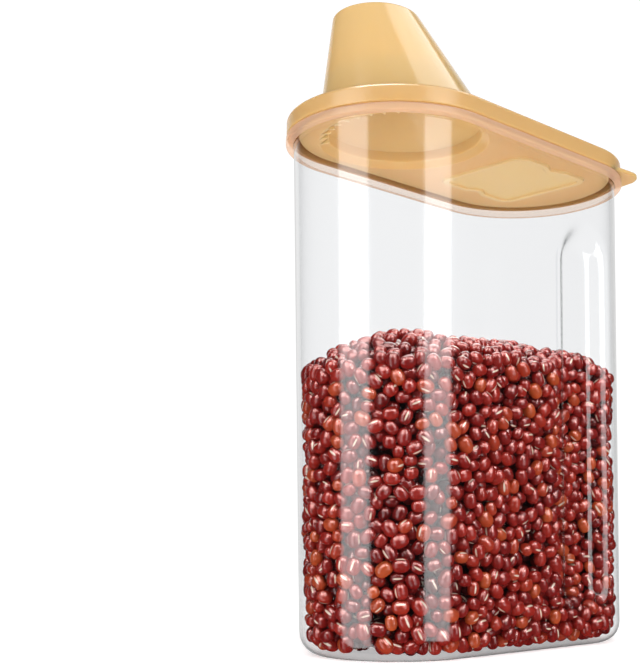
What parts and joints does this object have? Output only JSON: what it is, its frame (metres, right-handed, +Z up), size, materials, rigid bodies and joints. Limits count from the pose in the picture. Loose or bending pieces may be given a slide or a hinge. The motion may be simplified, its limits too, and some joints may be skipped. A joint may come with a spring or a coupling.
{
  "type": "cereal dispenser",
  "caption": "Clear oval dry-food canister with a lift-off lid, a round pouring spout and an inverted measuring cup as the spout's cap.",
  "frame": {"origin": "middle of the canister's flat base, on the surface it stands on", "axes": "+Z up; X along the oval, with the spout and cup at -X and the finger grip at +X; Y across, with the grip on the -Y side"},
  "size_m": [0.1854, 0.0954, 0.2692],
  "materials": {
    "clear_plastic": "clear, glossy, moulded",
    "lid_plastic": "opaque pale orange-yellow, satin gloss",
    "silicone": "translucent silicone",
    "cup_plastic": "opaque pale orange-yellow, satin gloss"
  },
  "bodies": {
    "canister": {"canister": "clear_plastic"},
    "lid": {"lid": "lid_plastic", "lid_seal": "silicone"},
    "cup": {"measuring_cup": "cup_plastic"}
  },
  "joints": [
    {"name": "lid_lift", "type": "slide", "parent": "canister", "child": "lid", "axis": [0, 0, 1], "range_m": [0, 0.06]},
    {"name": "cup_lift", "type": "slide", "parent": "lid", "child": "cup", "axis": [0, 0, 1], "range_m": [0, 0.07]}
  ]
}
